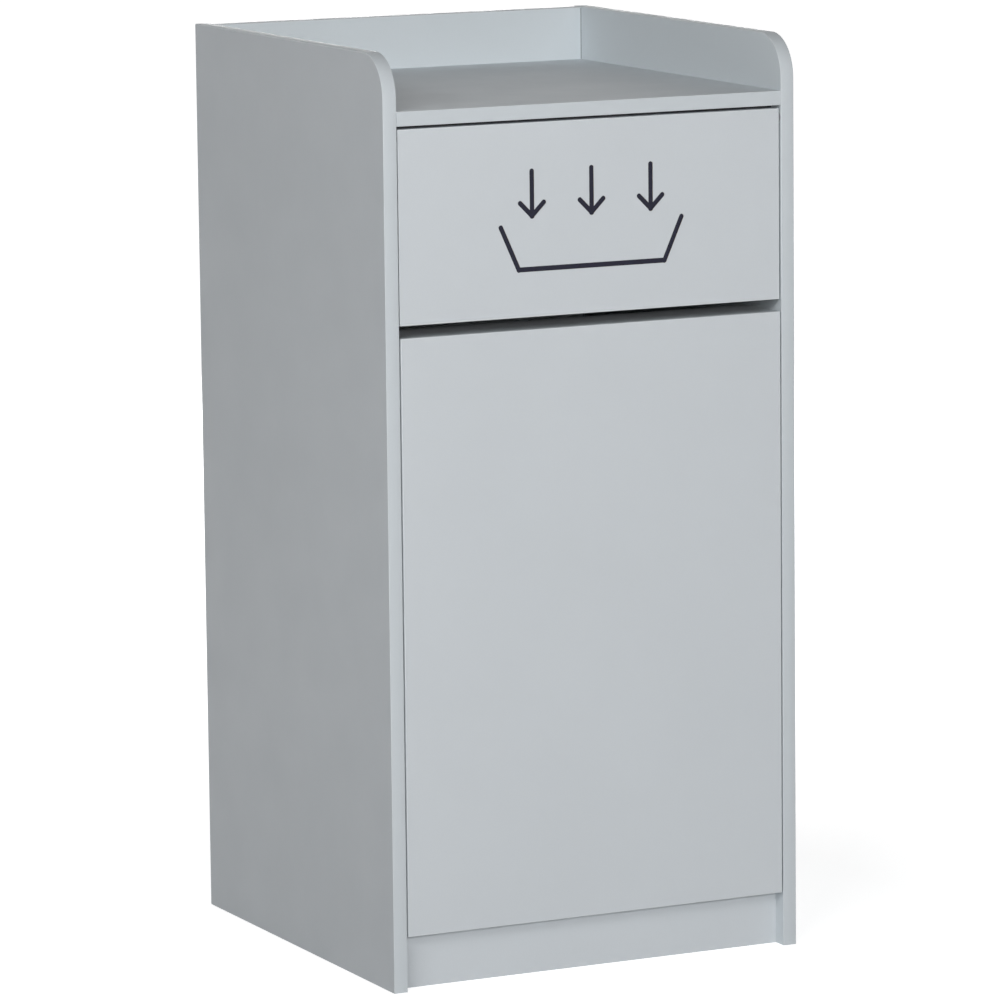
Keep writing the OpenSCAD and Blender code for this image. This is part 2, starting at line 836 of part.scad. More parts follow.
module catch_screw_places() {
    for (x = [-1, 1]) translate([catch_x + x * catch_screw_x,
        catch_front_y + pole_out + catch_depth / 2, rail_under - catch_h]) children();
}

module catch_screw_holes() {
    catch_screw_places() flat_screw_hole(catch_screw_head_d, catch_screw_d, catch_screw_l);
}

module magnet_space(grow) {
    half_w = pole_w / 2 + grow;
    half_h = magnet_t / 2 + pole_t + grow;
    y = catch_front_y + pole_out;
    block([catch_x - half_w, y - cut, catch_z - half_h],
          [catch_x + half_w, y + magnet_l, catch_z + half_h]);
}

module catch_housing() {
    color("white") difference() {
        translate([catch_x - catch_w / 2, catch_front_y + pole_out, rail_under - catch_h])
            cube([catch_w, catch_depth, catch_h]);
        magnet_space(push_fit);
        catch_screw_holes();
    }
}

module catch_magnet() {
    color("dimgray")
        translate([catch_x - pole_w / 2, catch_front_y + pole_out, catch_z - magnet_t / 2])
            cube([pole_w, magnet_l, magnet_t]);
}

module catch_poles() {
    color("silver") for (z = [catch_z - magnet_t / 2 - pole_t, catch_z + magnet_t / 2])
        translate([catch_x - pole_w / 2, catch_front_y, z])
            cube([pole_w, magnet_l + pole_out, pole_t]);
}

module catch_screws() {
    color("silver") catch_screw_places() flat_screw(catch_screw_head_d, catch_screw_d, catch_screw_l);
}

module strike_screw_places() {
    for (x = [-1, 1]) translate([catch_x + x * strike_screw_x, door_back_y + strike_t, catch_z])
        rotate([90, 0, 0]) children();
}

module strike_screw_holes() {
    strike_screw_places() flat_screw_hole(2 * strike_t + cup_screw_d, cup_screw_d, strike_screw_l);
}

module strike_plate() {
    color("silver") difference() {
        translate([catch_x - strike_w / 2, door_back_y, catch_z - strike_h / 2])
            cube([strike_w, strike_t, strike_h]);
        strike_screw_holes();
    }
}

module strike_screws() {
    color("gray") strike_screw_places() flat_screw(2 * strike_t + cup_screw_d, cup_screw_d, strike_screw_l);
}

// Container

// A slice of the container at a height, drawn in from the outer wall by the inset
module container_slice(z, w, d, inset, r = container_r) {
    translate([0, 0, z]) linear_extrude(slice_t)
        round_rect(w - 2 * inset, d - 2 * inset, r - inset, $fn = mould_facets);
}

// The leaning walls below the shoulder, with a round foot, and the walls above it
module container_walls(inset, floor_z) {
    low = container_taper + shoulder_w;
    r = foot_r - inset;
    hull() {
        for (turn = [0 : round_step : 90])
            container_slice(floor_z + r * (1 - cos(turn)), body_w - 2 * low, body_d - 2 * low,
                inset + r * (1 - sin(turn)));
        container_slice(shoulder_z, body_w - 2 * shoulder_w, body_d - 2 * shoulder_w, inset);
    }
    hull() {
        container_slice(shoulder_z, body_w - shoulder_w / 2, body_d - shoulder_w / 2, inset);
        container_slice(container_h, body_w, body_d, inset);
    }
}

// A turned-out rim with a rounded edge and a turned-down lip
module container_rim() {
    translate([0, 0, container_h - rim_h]) difference() {
        hull() {
            container_slice(0, container_w, container_d, 0, container_r + rim_w);
            for (turn = [0 : round_step : 90])
                container_slice(rim_h - rim_edge_r * (1 - sin(turn)) - slice_t, container_w, container_d,
                    rim_edge_r * (1 - cos(turn)), container_r + rim_w);
        }
        translate([0, 0, -cut]) linear_extrude(rim_h + cut - container_wall)
            round_rect(container_w - 2 * container_wall, container_d - 2 * container_wall,
                container_r + rim_w - container_wall, $fn = mould_facets);
        translate([0, 0, -cut]) linear_extrude(rim_h + 2 * cut)
            round_rect(body_w - 2 * rim_root, body_d - 2 * rim_root, container_r);
    }
}

// Ribs that run up one wall of the container, whose half width is given at foot and top
module wall_ribs(foot, top, span) {
    for (i = [0 : ribs - 1]) {
        x = (i - (ribs - 1) / 2) * span / ribs;
        hull() {
            translate([x - rib_w / 2, foot - container_wall / 2, rib_foot])
                cube([rib_w, container_wall / 2 + rib_out, slice_t]);
            translate([x - rib_top_w / 2, top - container_wall / 2, shoulder_z - rib_foot])
                cube([rib_top_w, container_wall / 2 + rib_top_out, slice_t]);
        }
    }
}

module container_grip(grow, depth) {
    for (side = [LEFT, RIGHT])
        translate([side * body_w / 2, 0, container_h - grip_drop]) rotate([90, 0, 90])
            translate([0, 0, -depth / 2]) linear_extrude(depth)
                round_rect(grip_w + 2 * grow, grip_h + 2 * grow, grip_r + grow);
}

module inner_container() {
    low = container_taper + shoulder_w;
    foot_z = base_h + foot_r;
    lean = container_taper / (shoulder_z - foot_z);
    ring_in = low + foot_r + base_step;
    ring_r = container_r - foot_r - base_step;
    color("dimgray") translate([0, container_y, bottom_top]) {
        difference() {
            union() {
                container_walls(0, base_h);
                container_grip(grip_collar, grip_collar_t);
                linear_extrude(base_h) round_rect(body_w - 2 * ring_in, body_d - 2 * ring_in, ring_r);
                for (turn = [0, 180]) rotate(turn) {
                    wall_ribs(body_d / 2 - low + lean * (rib_foot - foot_z),
                        body_d / 2 - shoulder_w - lean * rib_foot, body_w - 2 * container_r);
                    rotate(90) wall_ribs(body_w / 2 - low + lean * (rib_foot - foot_z),
                        body_w / 2 - shoulder_w - lean * rib_foot, body_d - 2 * container_r);
                }
            }
            container_walls(container_wall, base_h + container_wall);
            translate([0, 0, container_h]) linear_extrude(cut)
                round_rect(container_w, container_d, container_r);
            container_grip(0, 4 * container_wall);
            translate([0, 0, -cut]) linear_extrude(base_recess + cut)
                round_rect(body_w - 2 * (ring_in + base_ring_w), body_d - 2 * (ring_in + base_ring_w),
                    ring_r - base_ring_w);
        }
        container_rim();
    }
}

// Assembly

left_side_panel();
right_side_panel();
back_panel();
tray_board();
bottom_board();
front_rail();
kick_plate();
left_side_edge_band();
right_side_edge_band();
back_edge_band();
tray_edge_band();
bottom_edge_band();
rail_edge_band();
flap_panel();
flap_edge_band();
flap_pivot_pins();
flap_bushes();
flap_stop_strip();
flap_stop_pads();
stop_strip_screws();
door_panel();
door_edge_band();
door_bumpers();
hinge_cups();
cup_screws();
cup_pins();
hinge_arms();
arm_pins();
arm_screws();
mounting_plates();
plate_screws();
long_links();
short_links();
catch_housing();
catch_magnet();
catch_poles();
catch_screws();
strike_plate();
strike_screws();
inner_container();
cam_locks();
cam_bolts();
dowels();
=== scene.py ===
# A tray top waste cabinet of light grey laminated board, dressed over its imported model.
import math

import bpy
from mathutils import Matrix, Vector


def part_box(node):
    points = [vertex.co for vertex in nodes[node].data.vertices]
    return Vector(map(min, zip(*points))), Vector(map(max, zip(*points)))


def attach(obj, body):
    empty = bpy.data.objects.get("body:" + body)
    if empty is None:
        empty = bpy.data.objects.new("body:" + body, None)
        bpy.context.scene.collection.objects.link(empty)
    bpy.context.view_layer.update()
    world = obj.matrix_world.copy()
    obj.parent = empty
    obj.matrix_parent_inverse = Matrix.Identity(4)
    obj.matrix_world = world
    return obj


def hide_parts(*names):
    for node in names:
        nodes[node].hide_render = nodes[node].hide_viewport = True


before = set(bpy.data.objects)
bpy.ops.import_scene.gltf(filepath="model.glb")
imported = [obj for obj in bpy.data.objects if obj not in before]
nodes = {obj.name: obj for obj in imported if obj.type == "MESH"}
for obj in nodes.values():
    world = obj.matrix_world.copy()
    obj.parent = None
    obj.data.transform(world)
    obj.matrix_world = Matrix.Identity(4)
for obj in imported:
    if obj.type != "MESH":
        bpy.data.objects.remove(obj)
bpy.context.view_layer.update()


# The camera stands in front and to the left, a little above the top, about eight metres
# away with a long lens, so that upright edges stay nearly parallel.
CAMERA_PLACE = (-3.5444, -7.3062, 1.871)
CAMERA_TURN = (80.9979, 0.603, -26.0287)
CAMERA_LENS = 219.57
SENSOR_WIDTH = 36
CLIP_START = 0.1
CLIP_END = 60
bpy.ops.object.camera_add(location=CAMERA_PLACE, rotation=[math.radians(a) for a in CAMERA_TURN])
camera = bpy.context.object
camera.name = "photo_camera"
camera.data.lens = CAMERA_LENS
camera.data.sensor_width = SENSOR_WIDTH
camera.data.clip_start = CLIP_START
camera.data.clip_end = CLIP_END
bpy.context.scene.camera = camera
bpy.context.scene.view_settings.view_transform = "Standard"


# The boards: 19 mm chipboard between two faces of light cool grey melamine. The faces are
# satin, with a faint pearl and a fine orange peel. The chips show wherever a board was
# sawn or drilled and no band covers the cut. The left panel's grey is darker with painted
# shade, and the inner boards' and the tray's greys are lighter with painted light.
GREY = (196, 201, 205)
LEFT_PAINTED_SHADE_GREY = (186, 191, 195)
INNER_PAINTED_LIGHT_GREY = (206, 213, 217)
TRAY_PAINTED_LIGHT_GREY = (204, 210, 214)
SEAM_SHADE_GREY = (140, 146, 150)
CHIP_DARK = (120, 92, 62)
CHIP_LIGHT = (205, 176, 136)
SKIN = 0.0004
SEAM = 0.0014
FACE_GLOSS = 0.32
TRAY_GLOSS = 0.14
FACE_MOTTLE = 0.012
FACE_ROUGHNESS = (0.40, 0.50)
PEEL_HEIGHT = 0.00002
CHIP_RELIEF = 6.0
CHIP_ROUGHNESS = 0.85
CLOUD_SCALE = 5.0
PEARL_SCALE = 420.0
PEEL_SCALE = 650.0
RUB_SCALE = 16.0
CHIP_SCALE = 420.0
FIBRE_SCALE = 900.0
X, Y, Z = 0, 1, 2


def tone(red, green, blue):
    """A colour written as it shows, 0 to 255, as the shader's own values."""
    shown = [c / 255 for c in (red, green, blue)]
    return [c / 12.92 if c <= 0.04045 else ((c + 0.055) / 1.055) ** 2.4 for c in shown] + [1]


def feed(tree, socket, value):
    """Sets a socket to a value, or links it to another node's socket."""
    if isinstance(value, bpy.types.NodeSocket):
        tree.links.new(value, socket)
    else:
        socket.default_value = value


def put(tree, kind, inputs=None, **settings):
    """Adds a node with its settings made and its sockets fed."""
    made = tree.nodes.new(kind)
    for name, value in settings.items():
        setattr(made, name, value)
    for socket, value in (inputs or {}).items():
        feed(tree, made.inputs[socket], value)
    return made


def maths(tree, operation, a, b=0.0, c=0.0):
    return put(tree, "ShaderNodeMath", {0: a, 1: b, 2: c}, operation=operation).outputs[0]


def blend_colours(tree, factor, a, b, how="MIX"):
    """Mixes two colours. A mix node's colours are its sockets 6 and 7, and its output 2."""
    mixed = put(tree, "ShaderNodeMix", {"Factor": factor, 6: a, 7: b}, data_type="RGBA", blend_type=how)
    return mixed.outputs[2]


def stretch(tree, value, low, high, to_low=0.0, to_high=1.0):
    """Maps the range from low to high onto another range, and stops at its ends."""
    return put(tree, "ShaderNodeMapRange", {"Value": value, "From Min": low, "From Max": high,
                                            "To Min": to_low, "To Max": to_high}).outputs[0]


def noise(tree, place, scale, detail=2.0, rough=0.5):
    return put(tree, "ShaderNodeTexNoise", {"Vector": place, "Scale": scale, "Detail": detail,
                                            "Roughness": rough}).outputs[0]


def effect(name, inputs, outputs):
    """Starts a shader node group and returns it with its input sockets and its output node."""
    group = bpy.data.node_groups.new(name, "ShaderNodeTree")
    for side, sockets in (("INPUT", inputs), ("OUTPUT", outputs)):
        for socket, kind in sockets:
            group.interface.new_socket(socket, in_out=side, socket_type="NodeSocket" + kind)
    entry = group.nodes.new("NodeGroupInput")
    return group, {s.name: s for s in entry.outputs}, group.nodes.new("NodeGroupOutput")


def hand_out(group, leave, values):
    for socket, value in values.items():
        group.links.new(value, leave.inputs[socket])


melamine, given, leave = effect(
    "melamine_face", [("Place", "Vector"), ("Colour", "Color"), ("Mottle", "Float")],
    [("Colour", "Color"), ("Roughness", "Float"), ("Height", "Float")])
clouds = noise(melamine, given["Place"], CLOUD_SCALE, 3.0)
pearl = noise(melamine, given["Place"], PEARL_SCALE, 2.0, 0.6)
peel = noise(melamine, given["Place"], PEEL_SCALE, 1.0)
rubbed = noise(melamine, given["Place"], RUB_SCALE, 4.0, 0.6)
cloudy = stretch(melamine, clouds, 0.3, 0.7, -1.0, 1.0)
pearly = stretch(melamine, pearl, 0.3, 0.7, -0.6, 0.6)
shade = maths(melamine, "MULTIPLY_ADD", maths(melamine, "ADD", cloudy, pearly), given["Mottle"], 1.0)
grey_value = put(melamine, "ShaderNodeCombineColor", {0: shade, 1: shade, 2: shade}).outputs[0]
hand_out(melamine, leave, {
    "Colour": blend_colours(melamine, 1.0, given["Colour"], grey_value, "MULTIPLY"),
    "Roughness": stretch(melamine, rubbed, 0.3, 0.7, *FACE_ROUGHNESS),
    "Height": peel})

chipboard, given, leave = effect(
    "chipboard_cut", [("Place", "Vector"), ("Dark", "Color"), ("Light", "Color")],
    [("Colour", "Color"), ("Height", "Float")])
chips = put(chipboard, "ShaderNodeTexVoronoi", {"Vector": given["Place"], "Scale": CHIP_SCALE})
chip_tone = put(chipboard, "ShaderNodeSeparateColor", {0: chips.outputs["Color"]}).outputs[0]
fibres = noise(chipboard, given["Place"], FIBRE_SCALE, 3.0, 0.7)
lightness = maths(chipboard, "MULTIPLY_ADD", fibres, 0.5, maths(chipboard, "MULTIPLY", chip_tone, 0.6))
hand_out(chipboard, leave, {
    "Colour": blend_colours(chipboard, lightness, given["Dark"], given["Light"]),
    "Height": maths(chipboard, "ADD", chip_tone, fibres)})

# Tells how deep a point lies under a board's two faces
depth_mask, given, leave = effect(
    "under_the_skin", [("Across", "Float"), ("Middle", "Float"), ("Half", "Float")],
    [("Mask", "Float")])
offset = maths(depth_mask, "SUBTRACT", given["Across"], given["Middle"])
from_middle = maths(depth_mask, "ABSOLUTE", offset)
past_face = maths(depth_mask, "SUBTRACT", from_middle, given["Half"])
hand_out(depth_mask, leave, {"Mask": maths(depth_mask, "LESS_THAN", past_face, -SKIN)})


def start_material(name):
    """A material, its node tree, its shader and its place on the object."""
    material = bpy.data.materials.new(name)
    material.use_nodes = True
    tree = material.node_tree
    place = put(tree, "ShaderNodeTexCoord").outputs["Object"]
    return material, tree, tree.nodes["Principled BSDF"], place


def use_group(tree, group, inputs):
    return put(tree, "ShaderNodeGroup", inputs, node_tree=group).outputs


def bump(tree, shader, height, distance):
    made = put(tree, "ShaderNodeBump", {"Height": height, "Distance": distance, "Strength": 1.0})
    tree.links.new(made.outputs[0], shader.inputs["Normal"])


def middle_and_half(name, axis):
    low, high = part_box(name)
    return (low[axis] + high[axis]) / 2, (high[axis] - low[axis]) / 2


def across(tree, place, axis):
    return put(tree, "ShaderNodeSeparateXYZ", {0: place}).outputs[axis]


def dress(name, material):
    nodes[name].data.materials.clear()
    nodes[name].data.materials.append(material)


def board_material(name, axis, colour=GREY, gloss=FACE_GLOSS, shaded_seams=False):
    """Melamine faces on a board whose thickness lies along the axis, with a chipboard core."""
    material, tree, shader, place = start_material(name + "_board")
    face = use_group(tree, melamine, {"Place": place, "Colour": tone(*colour), "Mottle": FACE_MOTTLE})
    cut = use_group(tree, chipboard, {"Place": place, "Dark": tone(*CHIP_DARK), "Light": tone(*CHIP_LIGHT)})
    middle, half = middle_and_half(name, axis)
    core = use_group(tree, depth_mask, {"Across": across(tree, place, axis),
                                        "Middle": middle, "Half": half})["Mask"]
    # The rear edges of the side panels carry a thin painted edging
    if axis == X:
        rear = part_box(name)[1][Y] - SKIN
        core = maths(tree, "MULTIPLY", core, maths(tree, "LESS_THAN", across(tree, place, Y), rear))
    shown = blend_colours(tree, core, face["Colour"], cut["Colour"])
    # Painted shade darkens the fine joints at a board's two ends, where the corner's shadow falls
    if shaded_seams:
        centre, reach = middle_and_half(name, X)
        joint = use_group(tree, depth_mask, {"Across": across(tree, place, X), "Middle": centre,
                                             "Half": reach - SEAM + SKIN})["Mask"]
        shown = blend_colours(tree, joint, tone(*SEAM_SHADE_GREY), shown)
    tree.links.new(shown, shader.inputs["Base Color"])
    tree.links.new(maths(tree, "MAXIMUM", face["Roughness"], maths(tree, "MULTIPLY", core, CHIP_ROUGHNESS)),
                   shader.inputs["Roughness"])
    relief = maths(tree, "MULTIPLY", cut["Height"], core)
    bump(tree, shader, maths(tree, "MULTIPLY_ADD", relief, CHIP_RELIEF, face["Height"]), PEEL_HEIGHT)
    shader.inputs["Specular IOR Level"].default_value = gloss
    return material


# The left panel's grey carries painted shade. The right panel, back panel and tray carry painted light.
dress("left_side_panel", board_material("left_side_panel", X, LEFT_PAINTED_SHADE_GREY))
dress("right_side_panel", board_material("right_side_panel", X, INNER_PAINTED_LIGHT_GREY))
dress("back_panel", board_material("back_panel", Y, INNER_PAINTED_LIGHT_GREY, shaded_seams=True))
dress("kick_plate", board_material("kick_plate", Y))
dress("tray_board", board_material("tray_board", Z, TRAY_PAINTED_LIGHT_GREY, TRAY_GLOSS))
for board in ("bottom_board", "front_rail"):
    dress(board, board_material(board, Z))


# The edge bands: 1 mm plastic strips in the boards' colour, glued on and trimmed flush. A
# cutter has eased their outer arrises to a small radius, and a painted highlight lightens a thin line along
# them.
BAND_GREY = (194, 200, 204)
ARRIS_HIGHLIGHT_GREY = (210, 215, 218)
ARRIS = 0.0007
BAND_MOTTLE = 0.008
BAND_PEEL_HEIGHT = 0.000015
BAND_GLOSS = 0.2
FLAT = 0.99
SAME_POINT = 0.000001
SAME_PLANE = 0.5

arris_highlight, given, leave = effect(
    "arris_highlight", [("Across", "Float"), ("Middle", "Float"), ("Half", "Float"), ("Width", "Float")],
    [("Mask", "Float")])
offset = maths(arris_highlight, "SUBTRACT", given["Across"], given["Middle"])
from_middle = maths(arris_highlight, "ABSOLUTE", offset)
inside = maths(arris_highlight, "SUBTRACT", given["Half"], from_middle)
share = maths(arris_highlight, "DIVIDE", inside, given["Width"])
hand_out(arris_highlight, leave, {"Mask": stretch(arris_highlight, share, 0.0, 1.0, 1.0, 0.0)})


def only(obj):
    """Makes one object the only selected and active one."""
    bpy.ops.object.select_all(action="DESELECT")
    obj.select_set(True)
    bpy.context.view_layer.objects.active = obj


def smooth(degrees):
    """Shades the active object smoothly across edges that turn less than the angle."""
    bpy.ops.object.shade_smooth_by_angle(angle=math.radians(degrees))


def merged_copy(name, new_name):
    """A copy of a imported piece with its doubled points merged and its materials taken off."""
    only(nodes[name])
    bpy.ops.object.duplicate()
    copy = bpy.context.object
    copy.name = new_name
    bpy.ops.object.mode_set(mode="EDIT")
    bpy.ops.mesh.select_all(action="SELECT")
    bpy.ops.mesh.remove_doubles(threshold=SAME_POINT)
    bpy.ops.object.mode_set(mode="OBJECT")
    copy.data.materials.clear()
    return copy


def take_place(obj, name, body, material):
    """Puts a finished piece in the place of an imported one."""
    obj.data.materials.clear()
    obj.data.materials.append(material)
    obj.data.polygons.foreach_set("material_index", [0] * len(obj.data.polygons))
    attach(obj, body)
    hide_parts(name)


def band_material(name, axis):
    """Satin plastic, with a painted highlight along the two arrises that face the axis."""
    material, tree, shader, place = start_material(name + "_plastic")
    face = use_group(tree, melamine, {"Place": place, "Colour": tone(*BAND_GREY), "Mottle": BAND_MOTTLE})
    middle, half = middle_and_half(name, axis)
    line = use_group(tree, arris_highlight, {"Across": across(tree, place, axis), "Middle": middle,
                                        "Half": half, "Width": ARRIS})["Mask"]
    # The mask lightens the band's colour near its arrises as a painted highlight.
    tree.links.new(blend_colours(tree, line, face["Colour"], tone(*ARRIS_HIGHLIGHT_GREY)), shader.inputs["Base Color"])
    tree.links.new(face["Roughness"], shader.inputs["Roughness"])
    bump(tree, shader, face["Height"], BAND_PEEL_HEIGHT)
    shader.inputs["Specular IOR Level"].default_value = BAND_GLOSS
    return material


def eased_band(name, axis, board, ends, body):
    """A band whose outer arrises are rounded, save at the ends that meet a panel or the floor."""
    band = merged_copy(name, "eased_" + name)
    bpy.ops.object.mode_set(mode="EDIT")
    bpy.ops.mesh.select_mode(type="EDGE")
    bpy.ops.mesh.select_all(action="SELECT")
    bpy.ops.mesh.dissolve_limited(angle_limit=math.radians(SAME_PLANE))
    bpy.ops.mesh.select_all(action="DESELECT")
    bpy.ops.object.mode_set(mode="OBJECT")
    low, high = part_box(board)
    centre = (Vector(low) + Vector(high)) / 2
    around = {}
    for face in band.data.polygons:
        for key in face.edge_keys:
            around.setdefault(key, []).append(face)
    for edge in band.data.edges:
        sides = [f for f in around[edge.key] if abs(f.normal[axis]) > FLAT]
        outer = [f for f in around[edge.key] if abs(f.normal[axis]) <= FLAT
                 and f.normal.dot(f.center - centre) > 0
                 and not any(f.normal.dot(Vector(end)) > FLAT for end in ends)]
        edge.select = len(sides) == 1 and len(outer) == 1
    bpy.ops.object.mode_set(mode="EDIT")
    bpy.ops.mesh.bevel(offset=ARRIS, segments=3)
    bpy.ops.object.mode_set(mode="OBJECT")
    smooth(40)
    take_place(band, name, body, band_material(name, axis))


LEFT_AND_RIGHT = ((-1, 0, 0), (1, 0, 0))
REAR_AND_FLOOR = ((0, 1, 0), (0, 0, -1))
eased_band("left_side_edge_band", X, "left_side_panel", REAR_AND_FLOOR, "cabinet")
eased_band("right_side_edge_band", X, "right_side_panel", REAR_AND_FLOOR, "cabinet")
eased_band("back_edge_band", Y, "back_panel", LEFT_AND_RIGHT, "cabinet")
eased_band("tray_edge_band", Z, "tray_board", LEFT_AND_RIGHT, "cabinet")
eased_band("bottom_edge_band", Z, "bottom_board", LEFT_AND_RIGHT, "cabinet")
eased_band("rail_edge_band", Z, "front_rail", LEFT_AND_RIGHT, "cabinet")
eased_band("flap_edge_band", Y, "flap_panel", (), "flap")
eased_band("door_edge_band", Y, "door_panel", (), "door")


# The push flap: a laminated board with a generic sign cut into its face by a round-ended
# router, 1 mm deep, and filled with dark navy enamel. Arrows point down into an open bin.
NAVY = (20, 20, 34)
NAVY_THIN = (28, 28, 44)
ENAMEL_SCALE = 260.0
ENAMEL_HEIGHT = 0.00004
ENAMEL_GLOSS = 0.2
ENAMEL_ROUGHNESS = (0.50, 0.62)
SIGN_MIDDLE = (0.0, 0.996)
STROKE = 0.0066
SIGN_DEPTH = 0.001
FILL_THICKNESS = 0.0002
FILL_GAP = 0.00001
OVERRUN = 0.0004
END_ROUNDING = 0.495
ARROW_SPACING = 0.086
ARROW_LENGTH = 0.058
ARROW_MIDDLE = 0.036
ARROW_HEAD = 0.017
BIN_TOP_HALF = 0.131
BIN_FOOT_HALF = 0.106
BIN_TOP = -0.006
BIN_FOOT = -0.062


def settle():
    bpy.ops.object.transform_apply(location=True, rotation=True, scale=True)


def use_modifier(obj, kind, **settings):
    only(obj)
    made = obj.modifiers.new(kind.lower(), kind)
    for name, value in settings.items():
        setattr(made, name, value)
    bpy.ops.object.modifier_apply(modifier=made.name)


def sign_stroke(start, end, width, front, back):
    """One router stroke between two points of the flap's face, with round ends."""
    run = Vector(end) - Vector(start)
    bpy.ops.object.select_all(action="DESELECT")
    bpy.ops.mesh.primitive_cube_add(size=1)
    bar = bpy.context.object
    bar.scale = (width, back - front, run.length + width)
    settle()
    bpy.ops.object.mode_set(mode="EDIT")
    bpy.ops.mesh.select_mode(type="EDGE")
    bpy.ops.mesh.select_all(action="DESELECT")
    bpy.ops.object.mode_set(mode="OBJECT")
    for edge in bar.data.edges:
        a, b = (bar.data.vertices[i].co for i in edge.vertices)
        edge.select = abs(a.y - b.y) > (back - front) / 2
    bpy.ops.object.mode_set(mode="EDIT")
    bpy.ops.mesh.bevel(offset=width * END_ROUNDING, segments=8)
    bpy.ops.object.mode_set(mode="OBJECT")
    middle = (Vector(start) + Vector(end)) / 2
    bar.rotation_euler = (0, math.atan2(run.x, run.y), 0)
    bar.location = (SIGN_MIDDLE[0] + middle.x, (front + back) / 2, SIGN_MIDDLE[1] + middle.y)
    settle()
    return bar


def sign_shape(name, width, front, back):
    """All the strokes of the sign as one closed shape between two planes."""
    strokes = [((-BIN_FOOT_HALF, BIN_FOOT), (BIN_FOOT_HALF, BIN_FOOT))]
    for side in (-1, 1):
        foot = (side * (BIN_FOOT_HALF - OVERRUN), BIN_FOOT - OVERRUN)
        strokes.append((foot, (side * BIN_TOP_HALF, BIN_TOP)))
    for x in (-ARROW_SPACING, 0, ARROW_SPACING):
        tip = ARROW_MIDDLE - ARROW_LENGTH / 2
        for side in (-1, 1):
            strokes.append(((x - side * OVERRUN, tip - OVERRUN), (x + side * ARROW_HEAD, tip + ARROW_HEAD)))
        strokes.append(((x, ARROW_MIDDLE + ARROW_LENGTH / 2), (x, tip + 2 * OVERRUN)))
    bars = [sign_stroke(a, b, width, front, back) for a, b in strokes]
    whole = bars[0]
    for bar in bars[1:]:
        use_modifier(whole, "BOOLEAN", operation="UNION", object=bar, solver="EXACT")
        bpy.data.objects.remove(bar)
    whole.name = name
    whole.data.materials.clear()
    whole.data.polygons.foreach_set("material_index", [0] * len(whole.data.polygons))
    return whole


flap_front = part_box("flap_panel")[0].y
cutter = sign_shape("sign_cutter", STROKE, flap_front - SIGN_DEPTH, flap_front + SIGN_DEPTH)
engraved = merged_copy("flap_panel", "engraved_flap_panel")
use_modifier(engraved, "BOOLEAN", operation="DIFFERENCE", object=cutter, solver="EXACT")
bpy.data.objects.remove(cutter)
take_place(engraved, "flap_panel", "flap", board_material("flap_panel", Y))

groove_floor = flap_front + SIGN_DEPTH
sign_fill = sign_shape("flap_sign_fill", STROKE - 4 * FILL_GAP, groove_floor - FILL_THICKNESS,
                       groove_floor - FILL_GAP)
material, tree, shader, place = start_material("navy_enamel")
pooled = noise(tree, place, ENAMEL_SCALE, 3.0)
enamel = blend_colours(tree, stretch(tree, pooled, 0.35, 0.65), tone(*NAVY), tone(*NAVY_THIN))
tree.links.new(enamel, shader.inputs["Base Color"])
tree.links.new(stretch(tree, pooled, 0.3, 0.7, *ENAMEL_ROUGHNESS), shader.inputs["Roughness"])
bump(tree, shader, pooled, ENAMEL_HEIGHT)
shader.inputs["Specular IOR Level"].default_value = ENAMEL_GLOSS
sign_fill.data.materials.append(material)
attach(sign_fill, "flap")


# The door: one laminated board with two hinge cups let into its back.
dress("door_panel", board_material("door_panel", Y))


# The metal fittings: bright steel pins and strike plate, nickel plated hinges, zinc plated
# screws and cast cam locks. Each has the fine drag marks and clouding of its plating.
CLOUDING_SCALE = 90.0
PLATING_ROUGHNESS = (0.22, 0.42)
plating, given, leave = effect(
    "plated_metal", [("Place", "Vector"), ("Colour", "Color"), ("Tint", "Color"), ("Grain", "Float")],
    [("Colour", "Color"), ("Roughness", "Float"), ("Height", "Float")])
clouding = noise(plating, given["Place"], CLOUDING_SCALE, 4.0, 0.6)
stretched = put(plating, "ShaderNodeMapping", {"Vector": given["Place"], "Scale": (3.0, 0.4, 3.0)}).outputs[0]
drag = noise(plating, stretched, given["Grain"], 2.0)
hand_out(plating, leave, {
    "Colour": blend_colours(plating, stretch(plating, clouding, 0.35, 0.65), given["Colour"], given["Tint"]),
    "Roughness": stretch(plating, maths(plating, "ADD", clouding, drag), 0.7, 1.3, *PLATING_ROUGHNESS),
    "Height": drag})


def metal_material(name, colour, tint, grain=600.0, depth=0.00001):
    """Plated metal. The grain is the scale of its drag marks, the depth their height."""
    material, tree, shader, place = start_material(name)
    face = use_group(tree, plating, {"Place": place, "Colour": tone(*colour), "Tint": tone(*tint),
                                     "Grain": grain})
    tree.links.new(face["Colour"], shader.inputs["Base Color"])
    tree.links.new(face["Roughness"], shader.inputs["Roughness"])
    bump(tree, shader, face["Height"], depth)
    shader.inputs["Metallic"].default_value = 1
    return material


steel = metal_material("bright_steel", (204, 204, 206), (188, 189, 192))
nickel = metal_material("nickel_plate", (212, 208, 200), (196, 193, 186))
zinc = metal_material("zinc_plate", (198, 202, 206), (180, 186, 194), 900.0)
casting = metal_material("zinc_casting", (176, 178, 182), (158, 160, 165), 300.0, 0.00004)
for name in ("flap_pivot_pins", "cup_pins", "arm_pins", "catch_poles", "strike_plate"):
    dress(name, steel)
for name in ("hinge_cups", "hinge_arms", "mounting_plates", "long_links", "short_links"):
    dress(name, nickel)
dress("cam_bolts", zinc)
dress("cam_locks", casting)

# Each screw's head has a tapered cross recess, and stopped at an angle of its own
RECESS_SPAN = 0.62
RECESS_WIDTH = 0.2
RECESS_DEPTH = 0.0011
RECESS_FOOT = 0.3
RECESS_MOUTH = 0.75
STOPPED_AT = 37
HEAD_LAYER = 0.00001


